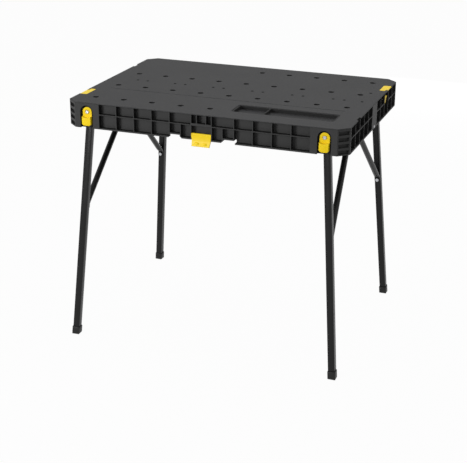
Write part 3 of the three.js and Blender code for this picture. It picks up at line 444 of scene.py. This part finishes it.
# welds the loose faces and shades round surfaces smooth, edges sharp
def shadeGroup(setup):
    group = bpy.data.node_groups.new("edgeShading", "GeometryNodeTree")
    group.interface.new_socket("Geometry", in_out="INPUT", socket_type="NodeSocketGeometry")
    group.interface.new_socket("Geometry", in_out="OUTPUT", socket_type="NodeSocketGeometry")
    start = group.nodes.new("NodeGroupInput")
    end = group.nodes.new("NodeGroupOutput")
    weld = group.nodes.new("GeometryNodeMergeByDistance")
    weld.inputs["Distance"].default_value = setup["joinDistance"]
    angle = group.nodes.new("GeometryNodeInputMeshEdgeAngle")
    soft = group.nodes.new("FunctionNodeCompare")
    soft.data_type = "FLOAT"
    soft.operation = "LESS_THAN"
    soft.inputs[1].default_value = setup["smoothBelow"]
    allFaces = group.nodes.new("GeometryNodeSetShadeSmooth")
    allFaces.domain = "FACE"
    someEdges = group.nodes.new("GeometryNodeSetShadeSmooth")
    someEdges.domain = "EDGE"
    link = group.links.new
    link(start.outputs[0], weld.inputs["Geometry"])
    link(weld.outputs[0], allFaces.inputs["Geometry"])
    link(allFaces.outputs[0], someEdges.inputs["Geometry"])
    link(angle.outputs["Unsigned Angle"], soft.inputs[0])
    link(soft.outputs[0], someEdges.inputs["Shade Smooth"])
    link(someEdges.outputs[0], end.inputs[0])
    return group


edgeShading = shadeGroup(shadeSetup)

# node name start, width of the rounded edges, rings
roundings = {
    "leg_front": (0.0022, 3), "leg_back": (0.0022, 3), "foot_cap": (0.0014, 2),
    "leg_bracket": (0.0005, 2), "brace_bracket": (0.0004, 2),
}


def roundEdges(solid, width, rings):
    weld = solid.modifiers.new("weld", "WELD")
    weld.merge_threshold = shadeSetup["joinDistance"]
    bevel = solid.modifiers.new("roundEdges", "BEVEL")
    bevel.width = width
    bevel.segments = rings
    bevel.limit_method = "ANGLE"
    bevel.angle_limit = shadeSetup["roundAbove"]
    bevel.use_clamp_overlap = True


for name, solid in nodes.items():
    for start, (width, rings) in roundings.items():
        if name.startswith(start):
            roundEdges(solid, width, rings)
    shading = solid.modifiers.new("edgeShading", "NODES")
    shading.node_group = edgeShading
print("solids dressed")


def addPiece(name, mesh, material, body):
    data = bpy.data.meshes.new(name)
    bmesh.ops.recalc_face_normals(mesh, faces=mesh.faces)
    mesh.to_mesh(data)
    mesh.free()
    for face in data.polygons:
        face.use_smooth = True
    data.set_sharp_from_angle(angle=shadeSetup["smoothBelow"])
    data.materials.append(material)
    piece = bpy.data.objects.new(name, data)
    scene.collection.objects.link(piece)
    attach(piece, body)


postScrew = {"radius": 0.0042, "dome": 0.0021, "sink": 0.0004, "rise": 0.006, "sides": 24, "rings": 12}


# domed screw at the foot of the middle post on each side
def addPostScrews(setup):
    low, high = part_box("skirt_frame")
    for side, sign in (("left", -1), ("right", 1)):
        mesh = bmesh.new()
        dome = bmesh.ops.create_uvsphere(mesh, u_segments=setup["sides"], v_segments=setup["rings"],
                                         radius=setup["radius"])["verts"]
        bmesh.ops.scale(mesh, vec=(1, 1, setup["dome"] / setup["radius"]), verts=dome)
        bmesh.ops.bisect_plane(mesh, geom=mesh.verts[:] + mesh.edges[:] + mesh.faces[:],
                               plane_co=(0, 0, setup["sink"] / 2), plane_no=(0, 0, 1), clear_inner=True)
        rim = [edge for edge in mesh.edges if edge.is_boundary]
        bmesh.ops.contextual_create(mesh, geom=rim)
        turn = Matrix.Rotation(sign * math.pi / 2, 4, "Y")
        face = sign * (high.x - setup["sink"])
        place = Matrix.Translation((face, 0, low.z + setup["rise"]))
        bmesh.ops.transform(mesh, matrix=place @ turn, verts=mesh.verts)
        addPiece("post_screw_" + side, mesh, zincMaterial, "tabletop")


holeShadeLining = {"wall": 0.0026, "inset": 0.0002, "sides": 32, "top": 0.0051, "bottom": 0.0118, "hole": 0.0095}


# collar that lines each dog hole below the skin of the deck: a dark lining put there as painted shade,
# so the pale floor does not show through the hole
def addHoleShadeLinings(setup):
    top = solidBox[1][2]
    inner = setup["hole"] + setup["inset"]
    outer = inner + setup["wall"]
    upper, lower = setup["top"], setup["bottom"]
    profile = [(inner, upper), (outer, upper), (outer, lower), (inner, lower)]
    mesh = bmesh.new()
    for hole in frame["record"]["physics"]["openings"]:
        if not hole["name"].startswith("dog_hole"):
            continue
        low, high = hole["box_m"]
        middle = Vector(((low[0] + high[0]) / 2, (low[1] + high[1]) / 2, 0))
        points = [mesh.verts.new(middle + Vector((reach, 0, top - drop))) for reach, drop in profile]
        ring = [mesh.edges.new(ends) for ends in zip(points, points[1:] + points[:1])]
        bmesh.ops.spin(mesh, geom=points + ring, cent=middle, axis=(0, 0, 1), angle=math.tau,
                       steps=setup["sides"], use_merge=True)
    addPiece("hole_sleeves", mesh, deckMaterial, "tabletop")


holeShadeDisc = {
    "pitch": 0.127, "gap": 0.034, "pairs": 6, "sideInset": 0.040, "sideStep": 0.107,
    "brim": 0.0043, "proud": 0.00018, "plug": 0.0030, "length": 0.0020, "sides": 20,
}


# black discs pressed into the small holes of the deck: painted shade that darkens and widens the holes
def addHoleShadeDiscs(setup):
    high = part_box("deck")[1]
    half = (setup["pairs"] - 1) / 2
    places = [((pair - half) * setup["pitch"] + side * setup["gap"] / 2, 0)
              for pair in range(setup["pairs"]) for side in (-1, 1)]
    places += [(high.x - setup["sideInset"], step * setup["sideStep"]) for step in (0, 1)]
    mesh = bmesh.new()
    for x, y in places:
        place = Matrix.Translation((x, y, high.z + setup["proud"] / 2))
        brim = bmesh.ops.create_cone(mesh, cap_ends=True, segments=setup["sides"], depth=setup["proud"],
                                     radius1=setup["brim"], radius2=setup["brim"] - setup["proud"],
                                     matrix=place)["verts"]
        under = min({face for vert in brim for face in vert.link_faces},
                    key=lambda face: face.calc_center_median().z)
        bmesh.ops.inset_individual(mesh, faces=[under], thickness=setup["brim"] - setup["plug"])
        plug = bmesh.ops.extrude_discrete_faces(mesh, faces=[under])["faces"][0]
        bmesh.ops.translate(mesh, vec=(0, 0, -setup["length"]), verts=plug.verts)
    addPiece("screw_eyelets", mesh, holeShadeMaterial, "tabletop")


flapGapShade = {
    "half": 0.0302, "depth": 0.0150, "thick": 0.0020, "top": 0.0556, "bottom": 0.0608,
    "round": 0.0006, "rings": 3,
}


# strip behind the knuckle of the front flap that shuts the gap over it: a dark sheet put there as
# painted shade, so the pale floor does not show through
def addFlapGapShade(setup):
    low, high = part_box("deck")
    upper, lower = setup["top"], setup["bottom"]
    mesh = bmesh.new()
    bmesh.ops.create_cube(mesh, size=1)
    bmesh.ops.scale(mesh, vec=(setup["half"] * 2, setup["thick"], lower - upper), verts=mesh.verts)
    bottom = [edge for edge in mesh.edges if all(vert.co.z < 0 for vert in edge.verts)]
    bmesh.ops.bevel(mesh, geom=bottom, offset=setup["round"], segments=setup["rings"], profile=0.5,
                    affect="EDGES", material=-1)
    middle = Vector((0, low.y + setup["depth"] + setup["thick"] / 2, high.z - (upper + lower) / 2))
    bmesh.ops.translate(mesh, vec=middle, verts=mesh.verts)
    addPiece("flap_baffle", mesh, skirtMaterial, "tabletop")


addPostScrews(postScrew)
addFlapGapShade(flapGapShade)
addHoleShadeLinings(holeShadeLining)
addHoleShadeDiscs(holeShadeDisc)
print("fasteners added")

# each lamp: power, place, size
lightSetup = {
    "skyStrength": 0.5, "mirrorExtra": 0.15, "aim": (0, 0, 0.62),
    "lamps": {
        "keyLamp": (80, (-1.9, -3.2, 1.6), 1.2),
        "fillLamp": (4, (2.8, -2.4, 1.4), 2.6),
        "topLamp": (30, (0.2, 0.3, 3.2), 2.0),
        "backLamp": (36, (0.0, 3.4, 0.4), 0.5),
    },
}


def addLamp(name, power, place, size, aim):
    lamp = bpy.data.lights.new(name, "AREA")
    lamp.energy = power
    lamp.size = size
    holder = bpy.data.objects.new(name, lamp)
    holder.location = place
    holder.rotation_euler = (Vector(aim) - Vector(place)).to_track_quat("-Z", "Y").to_euler()
    scene.collection.objects.link(holder)


# rays that find the white studio: straight from the camera, or by a mirror or glass
def studioRays(tree):
    kinds = ("Is Camera Ray", "Is Glossy Ray", "Is Transmission Ray")
    camera, glossy, through = [tree.make("ShaderNodeLightPath", None, None, kind) for kind in kinds]
    return camera, camera.sum("MAXIMUM", glossy, through)


def addStudio(setup):
    for name, (power, place, size) in setup["lamps"].items():
        addLamp(name, power, place, size, setup["aim"])
    world = bpy.data.worlds.new("studio")
    scene.world = world
    tree = Tree(world)
    camera, mirrored = studioRays(tree)
    plain = camera * (1.0 - setup["skyStrength"])
    strength = setup["skyStrength"] + plain + mirrored * setup["mirrorExtra"]
    sky = tree.make("ShaderNodeBackground", None, {"Color": colour(1, 1, 1), "Strength": strength})
    tree.make("ShaderNodeOutputWorld", None, {"Surface": sky})


floorSetup = {
    "size": 40, "drop": 0.0002, "paint": colour(0.4, 0.4, 0.4), "plainShare": 0.97, "mirrorShare": 0.6,
}


# pale floor, nearly white to the camera, that still takes the shadow
def addFloor(setup):
    material = bpy.data.materials.new("paleFloor")
    tree = Tree(material)
    camera, mirrored = studioRays(tree)
    matt = tree.make("ShaderNodeBsdfDiffuse", None, {"Color": setup["paint"]})
    white = tree.make("ShaderNodeEmission", None, {"Color": colour(1, 1, 1), "Strength": 1.0})
    plain = camera * setup["plainShare"] + mirrored * setup["mirrorShare"]
    surface = tree.make("ShaderNodeMixShader", None, {0: plain, 1: matt, 2: white})
    tree.make("ShaderNodeOutputMaterial", None, {"Surface": surface})
    mesh = bmesh.new()
    bmesh.ops.create_grid(mesh, x_segments=1, y_segments=1, size=setup["size"] / 2)
    bmesh.ops.translate(mesh, vec=(0, 0, -setup["drop"]), verts=mesh.verts)
    data = bpy.data.meshes.new("paleFloor")
    mesh.to_mesh(data)
    mesh.free()
    data.materials.append(material)
    floor = bpy.data.objects.new("paleFloor", data)
    scene.collection.objects.link(floor)


addStudio(lightSetup)
addFloor(floorSetup)
print("studio lit")
